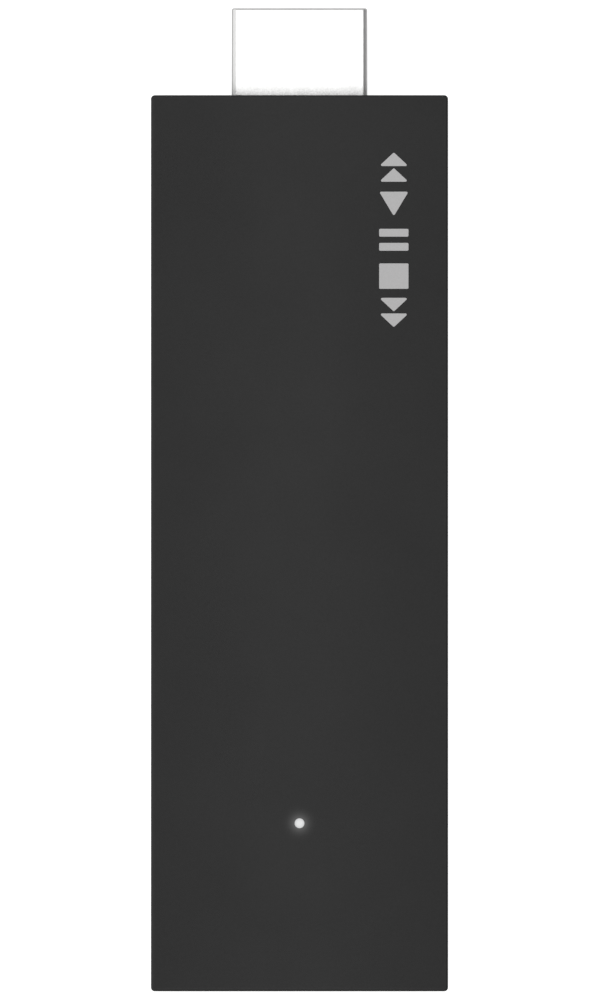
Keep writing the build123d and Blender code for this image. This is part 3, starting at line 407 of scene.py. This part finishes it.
def chip_moulding():
    """Filled epoxy: matte charcoal with silica specks and soft clouds."""
    finish = Finish("chip_moulding", (0.02, 0.02, 0.0215), 0.62, Specular_IOR_Level=0.35)
    specks = finish.remap(finish.cells(0.07 * MM), (0.05, 0.25), (1.0, 0.0), smooth=True)
    clouds = finish.noise(2.5 * MM, detail=3)
    base = finish.mix(clouds, (0.016, 0.016, 0.017), (0.026, 0.026, 0.028))
    finish.paint(finish.mix(finish.math("MULTIPLY", specks, 0.25), base, (0.1, 0.1, 0.1)))
    finish.polish(finish.sway(clouds, 0.06))
    finish.relief(finish.noise(0.05 * MM, detail=3), 2.5 * UM)
    return finish


def sintered(name, color, roughness):
    """A fired ceramic, ferrite or film: a fine, uneven grain."""
    finish = Finish(name, color, roughness)
    grain = finish.noise(0.06 * MM, detail=3, rough=0.65)
    finish.tint(grain, 0.18)
    finish.polish(finish.sway(grain, 0.08))
    finish.relief(grain, 2.5 * UM)
    return finish


def tinned(name, color, roughness):
    """Reflowed tin: cloudy crystals and slow ripples."""
    finish = Finish(name, color, roughness, metallic=1.0)
    crystals = finish.cells(0.35 * MM, output="Color")
    value = finish.add("ShaderNodeSeparateColor", [("Color", crystals)]).outputs[0]
    finish.tint(value, 0.07, (0.0, 1.0))
    finish.polish(finish.remap(value, (0.0, 1.0), (-0.07, 0.09)))
    finish.relief(finish.noise(0.3 * MM), 2.0 * UM)
    return finish


def drawn_sheet(name, color, roughness):
    """Thin drawn or folded sheet: rolling lines along X, stains and a slight orange peel."""
    finish = Finish(name, color, roughness, metallic=1.0)
    lines = finish.noise((5.0 * MM, 0.06 * MM, 0.06 * MM), detail=3)
    stains = finish.noise(3.5 * MM, detail=4, seed=9.0)
    finish.tint(stains, 0.06)
    finish.polish(finish.sway(lines, 0.06), finish.remap(stains, NOISE_SPAN, (-0.05, 0.07)))
    finish.relief(lines, 0.5 * UM)
    finish.relief(finish.noise(0.6 * MM, seed=1.0), 2.0 * UM)
    return finish


def soft_silicone(name, color, roughness, speck):
    """Filled silicone: a soft, slightly dusty body with ceramic specks and a knitted carrier's imprint."""
    finish = Finish(name, color, roughness, Sheen_Weight=0.15)
    specks = finish.remap(finish.cells(speck), (0.1, 0.35), (1.0, 0.0), smooth=True)
    lighter = [c * 1.35 for c in color]
    darker = [c * 0.9 for c in color]
    body = finish.mix(finish.noise(2 * MM, detail=3), darker, color)
    finish.paint(finish.mix(finish.math("MULTIPLY", specks, 0.5), body, lighter))
    finish.polish(finish.sway(finish.noise(0.5 * MM), 0.06))
    finish.relief(finish.cells((0.5 * MM, 0.5 * MM, 3 * MM), randomness=0.2), 6 * UM)
    return finish


def polyimide():
    """Amber film with its slow waviness."""
    finish = Finish("antenna_film", (0.16, 0.07, 0.012), 0.3, Coat_Weight=0.2)
    finish.tint(finish.noise(1.5 * MM, detail=3), 0.15)
    finish.polish(finish.sway(finish.noise(0.5 * MM), 0.05))
    finish.relief(finish.noise(1.2 * MM), 4 * UM)
    return finish


def jacket():
    """An extruded cable jacket: fine draw lines along it and a waxy skin."""
    finish = Finish("lead_jacket", (0.03, 0.03, 0.032), 0.4, Specular_IOR_Level=0.4)
    lines = finish.noise((0.05 * MM, 1.5 * MM, 0.3 * MM), detail=3)
    finish.tint(lines, 0.12)
    finish.polish(finish.sway(lines, 0.06))
    finish.relief(lines, 1.2 * UM)
    return finish


def led_body():
    """A white package with a yellow phosphor lens on it."""
    base_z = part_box("status_led")[0].z
    finish = Finish("led_body", (0.8, 0.8, 0.76), 0.3)
    lens = finish.remap(finish.axis("Z"), (base_z + 0.2 * MM, base_z + 0.22 * MM), (0.0, 1.0))
    grains = finish.noise(0.05 * MM, detail=3)
    phosphor = finish.mix(grains, (0.8, 0.62, 0.12), (0.9, 0.76, 0.25))
    finish.paint(finish.mix(lens, (0.82, 0.82, 0.8), phosphor))
    finish.polish(finish.sway(grains, 0.06))
    finish.relief(grains, 1.0 * UM)
    return finish


all_finishes = (
    housing_plastic(),
    button_plastic(),
    label_film(),
    light_pipe(),
    led_body(),
    plug_nickel(),
    plated_sheet("inlet_steel", (0.74, 0.73, 0.71), 0.27),
    connector_plastic(),
    contact_gold(),
    circuit_board(),
    module_board(),
    drawn_sheet("screw_steel", (0.5, 0.49, 0.47), 0.3),
    chip_moulding(),
    sintered("ferrite", (0.05, 0.05, 0.053), 0.5),
    sintered("capacitor_ceramic", (0.36, 0.25, 0.15), 0.32),
    sintered("resistor_film", (0.014, 0.014, 0.015), 0.25),
    tinned("solder_tin", (0.74, 0.74, 0.72), 0.28),
    drawn_sheet("can_steel", (0.66, 0.65, 0.62), 0.26),
    tinned("shield_steel", (0.7, 0.7, 0.68), 0.34),
    soft_silicone("thermal_silicone", (0.27, 0.36, 0.47), 0.72, 0.12 * MM),
    soft_silicone("thermal_tape", (0.55, 0.54, 0.5), 0.66, 0.09 * MM),
    plated_sheet("spreader_aluminium", (0.78, 0.78, 0.79), 0.36),
    polyimide(),
    drawn_sheet("antenna_copper", (0.78, 0.42, 0.26), 0.3),
    jacket(),
    sintered("switch_plunger", (0.62, 0.6, 0.54), 0.45),
    drawn_sheet("switch_steel", (0.7, 0.69, 0.66), 0.25),
)
finishes = {finish.name: finish for finish in all_finishes}
slot_of_node = {row["node"]: row["material_slot"] for row in frame["record"]["subparts"]}
for node, cad_object in frame["nodes"].items():
    for material_slot in cad_object.material_slots:
        material_slot.material = finishes[slot_of_node[node]].material


# ---------------------------------------------------------------- mesh pieces


def piece(name, mesh, finish, body):
    """Puts a mesh in the scene as a piece that rides on a CAD body."""
    made = bpy.data.objects.new(name, mesh)
    bpy.context.scene.collection.objects.link(made)
    mesh.materials.append(finish.material)
    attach(made, body)
    return made


def rounded(corners, radius, steps=5):
    """A polygon's outline with its corners rounded by arcs, as a list of (u, v) points."""
    outline = []
    points = [Vector(corner) for corner in corners]
    for before, corner, after in zip([points[-1], *points], points, [*points[1:], points[0]]):
        back, on = (before - corner).normalized(), (after - corner).normalized()
        half_angle = back.angle(on) / 2
        reach = radius / math.tan(half_angle)
        centre = corner + (back + on).normalized() * (radius / math.sin(half_angle))
        start, end = corner + back * reach - centre, corner + on * reach - centre
        sweep = start.angle_signed(end)
        for i in range(steps + 1):
            turn = -sweep * i / steps
            cos, sin = math.cos(turn), math.sin(turn)
            outline.append(centre + Vector((start.x * cos - start.y * sin, start.x * sin + start.y * cos)))
    return outline


def mesh_from(shape, name):
    """Turns a closed bmesh into a mesh whose faces all look outwards."""
    bmesh.ops.recalc_face_normals(shape, faces=shape.faces)
    mesh = bpy.data.meshes.new(name)
    shape.to_mesh(mesh)
    shape.free()
    return mesh


def skin(shape, loops, hollow):
    """Joins loops of equally many points with quads.

    The two ends are capped, or the last loop is joined to the first if the shape is hollow.
    """
    rings = [[shape.verts.new(point) for point in loop] for loop in loops]
    pairs = list(zip(rings, rings[1:]))
    if hollow:
        pairs.append((rings[-1], rings[0]))
    else:
        shape.faces.new(rings[0])
        shape.faces.new(rings[-1])
    for ring, following in pairs:
        for i in range(len(ring)):
            j = (i + 1) % len(ring)
            shape.faces.new((ring[i], ring[j], following[j], following[i]))


def ink_mesh(name, shapes, place, thickness):
    """Films of ink with softened rims, from shapes of one outline, or of an outer and an inner one.

    place turns (u, v, height) into a point on the object.
    """
    mesh = bmesh.new()
    shoulder = 0.6 * thickness

    def loop(outline, height, inset):
        middle = sum(outline, Vector((0, 0))) / len(outline)
        moved = [point + (middle - point).normalized() * inset for point in outline]
        return [place(u, v, height) for u, v in moved]

    for outer, *inner in shapes:
        loops = [loop(outer, 0, 0), loop(outer, shoulder, 0), loop(outer, thickness, thickness)]
        for hole in inner:
            loops += [loop(hole, thickness, -thickness), loop(hole, shoulder, 0), loop(hole, 0, 0)]
        skin(mesh, loops, hollow=bool(inner))
    return mesh_from(mesh, name)


def media_symbols():
    """Rewind, play, pause, stop and forward in a row, as outlines in (u along the row, v across it)."""
    half = 1.5 * MM  # half of the row's height
    corner = 0.12 * MM
    pitch = 3.72 * MM
    skip_length, skip_gap = 1.4 * MM, 0.1 * MM
    play_tip, play_base = 1.3 * MM, 1.2 * MM  # from the symbol's middle
    pause_bar, pause_offset = 0.8 * MM, 0.72 * MM
    stop_width = 2.6 * MM

    def triangle(tip, base):
        return rounded([(base, -half), (base, half), (tip, 0.0)], corner)

    def bar(middle, width):
        left, right = middle - width / 2, middle + width / 2
        return rounded([(left, -half), (left, half), (right, half), (right, -half)], corner)

    rewind, play, pause, stop, forward = ((i - 2) * pitch for i in range(5))
    return [
        triangle(rewind - skip_gap - skip_length, rewind - skip_gap),
        triangle(rewind + skip_gap, rewind + skip_gap + skip_length),
        triangle(play + play_tip, play - play_base),
        bar(pause - pause_offset, pause_bar),
        bar(pause + pause_offset, pause_bar),
        bar(stop, stop_width),
        triangle(forward - skip_gap, forward - skip_gap - skip_length),
        triangle(forward + skip_gap + skip_length, forward + skip_gap),
    ]


def print_front_symbols():
    """The generic mark on the front face, read from the plug's end towards the power inlet."""
    from_side, from_plug_end = 5.55 * MM, 14.8 * MM
    middle_x = housing_high.x - from_side
    middle_y = housing_high.y - from_plug_end
    thickness = 0.012 * MM

    def place(u, v, height):
        return Vector((middle_x + v, middle_y - u, front_z + height))

    mesh = ink_mesh("front_symbols", [[outline] for outline in media_symbols()], place, thickness)
    finish = printed_ink("grey_ink", (0.478, 0.474, 0.476))
    piece("front_symbols", mesh, finish, HOUSING)


def print_label():
    """A thin frame line and two blank boxes printed on the label, all generic."""
    low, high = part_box("rating_label")
    middle = (low + high) / 2
    width, length = high.x - low.x, high.y - low.y
    line = 0.2 * MM
    thickness = 0.008 * MM
    corner = 0.8 * MM
    margin, box_margin = 1.2 * MM, 3 * MM
    plug_box, plug_box_depth = 8 * MM, 7.5 * MM  # a box's length, and its middle from the label's end
    inlet_box, inlet_box_depth = 5 * MM, 6 * MM

    def frame_line(middle_v, wide, tall):
        """A line round a box that stands in the middle of the label's width."""
        outlines = []
        for inset in (0.0, line):
            u, v = wide / 2 - inset, tall / 2 - inset
            corners = [(-u, middle_v - v), (-u, middle_v + v), (u, middle_v + v), (u, middle_v - v)]
            outlines.append(rounded(corners, corner - inset))
        return outlines

    def place(u, v, height):
        return Vector((middle.x + u, middle.y + v, low.z - height))

    box_width = width - 2 * box_margin
    shapes = [
        frame_line(0.0, width - 2 * margin, length - 2 * margin),
        frame_line(length / 2 - plug_box_depth, box_width, plug_box),
        frame_line(inlet_box_depth - length / 2, box_width, inlet_box),
    ]
    mesh = ink_mesh("label_lines", shapes, place, thickness)
    piece("label_lines", mesh, printed_ink("label_ink", (0.5, 0.5, 0.5)), HOUSING)


def switch_leaf():
    """The snap leaf behind the switch plunger, bowed as it is at rest, before the plunger flattens it."""
    low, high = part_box("reset_switch_dome")
    thickness = 0.08 * MM
    steps = 16
    sections = []
    for i in range(steps + 1):
        share = i / steps
        y = low.y + (high.y - low.y) * share
        back = low.x + (high.x - low.x - thickness) * math.sin(math.pi * share)
        face = back + thickness
        sections.append([(back, y, low.z), (face, y, low.z), (face, y, high.z), (back, y, high.z)])
    shape = bmesh.new()
    skin(shape, sections, hollow=False)
    mesh = mesh_from(shape, "switch_leaf")
    leaf = piece("switch_leaf", mesh, finishes["switch_steel"], HOUSING)
    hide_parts("reset_switch_dome")
    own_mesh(leaf)


print_front_symbols()
print_label()
switch_leaf()


# ---------------------------------------------------------------- studio


def floor():
    """A wide white sheet under the stick.

    To the camera it glows as white as the paper of a catalogue, so it shows no shadow.
    The stick reflects a darker one.
    """
    half = 3.0
    gap_under_stick = 0.02 * MM
    reflected_glow, seen_glow = 0.24, 0.9
    shape = bmesh.new()
    corners = [(-half, -half, 0), (half, -half, 0), (half, half, 0), (-half, half, 0)]
    shape.faces.new([shape.verts.new(corner) for corner in corners])
    mesh = bpy.data.meshes.new("floor")
    shape.to_mesh(mesh)
    shape.free()
    ground = bpy.data.objects.new("floor", mesh)
    bpy.context.scene.collection.objects.link(ground)
    ground.location.z = housing_low.z - gap_under_stick
    finish = Finish("floor_paper", (0.5, 0.5, 0.5), 0.9, Specular_IOR_Level=0.1)
    finish.tint(finish.noise(40 * MM), 0.01)
    finish.shader.inputs["Emission Color"].default_value = (1, 1, 1, 1)
    seen = finish.add("ShaderNodeLightPath").outputs["Is Camera Ray"]
    strength = finish.remap(seen, (0.0, 1.0), (reflected_glow, seen_glow))
    finish.tree.links.new(strength, finish.shader.inputs["Emission Strength"])
    mesh.materials.append(finish.material)


def softbox(name, place, size, radiance):
    """A square area light that faces the stick; its power follows from its size and its radiance."""
    data = bpy.data.lights.new(name, "AREA")
    data.shape = "SQUARE"
    data.size = size
    data.energy = radiance * math.pi * size * size
    light = bpy.data.objects.new(name, data)
    light.location = place
    light.rotation_euler = (-Vector(place)).to_track_quat("-Z", "Y").to_euler()
    light.visible_camera = False
    bpy.context.scene.collection.objects.link(light)


def surroundings():
    """A white room with an even wall, and a ceiling that is brightest on the stick's left."""
    wall_level, left_level, right_level = 1.05, 1.4, 0.23
    wall_top, ceiling_foot = 0.0, 0.15  # heights on a sphere round the stick
    fall = 1.35  # over 1, the ceiling darkens sooner than evenly from left to right
    world = bpy.data.worlds.new("studio")
    world.use_nodes = True
    tree = world.node_tree
    background = tree.nodes["Background"]
    background.inputs["Color"].default_value = (1, 1, 1, 1)
    coordinates = tree.nodes.new("ShaderNodeTexCoord")
    axes = tree.nodes.new("ShaderNodeSeparateXYZ")
    tree.links.new(coordinates.outputs["Generated"], axes.inputs[0])

    def ramp(output, old, new, kind="LINEAR"):
        node = tree.nodes.new("ShaderNodeMapRange")
        node.interpolation_type = kind
        tree.links.new(output, node.inputs["Value"])
        for socket, value in zip(("From Min", "From Max", "To Min", "To Max"), (*old, *new)):
            node.inputs[socket].default_value = value
        return node.outputs["Result"]

    leftwards = tree.nodes.new("ShaderNodeMath")
    leftwards.operation = "POWER"
    leftwards.inputs[1].default_value = fall
    tree.links.new(ramp(axes.outputs["X"], (1.0, -1.0), (0.0, 1.0)), leftwards.inputs[0])
    across = ramp(leftwards.outputs[0], (0.0, 1.0), (right_level, left_level))
    rise = ramp(axes.outputs["Z"], (wall_top, ceiling_foot), (0.0, 1.0), "SMOOTHSTEP")
    level = tree.nodes.new("ShaderNodeMix")
    level.inputs["A"].default_value = wall_level
    tree.links.new(rise, level.inputs["Factor"])
    tree.links.new(across, level.inputs["B"])
    tree.links.new(level.outputs["Result"], background.inputs["Strength"])
    bpy.context.scene.world = world


def camera():
    """Straight above the stick with its plug upwards, through a long lens."""
    margin_above, margin_below, shift_x = 0.73 * MM, 0.88 * MM, 0.05 * MM
    height = cad_high.y - cad_low.y + margin_above + margin_below
    data = bpy.data.cameras.new("camera")
    data.lens = 800
    distance = height * data.lens / data.sensor_width
    eye = bpy.data.objects.new("camera", data)
    middle_y = (cad_high.y + margin_above + cad_low.y - margin_below) / 2
    eye.location = (shift_x, middle_y, front_z + distance)
    bpy.context.scene.collection.objects.link(eye)
    bpy.context.scene.camera = eye


floor()
surroundings()
softbox("overhead", place=(0.0, 0.0, 1.9), size=1.2, radiance=1.56)
camera()
bpy.context.scene.view_settings.view_transform = "Standard"
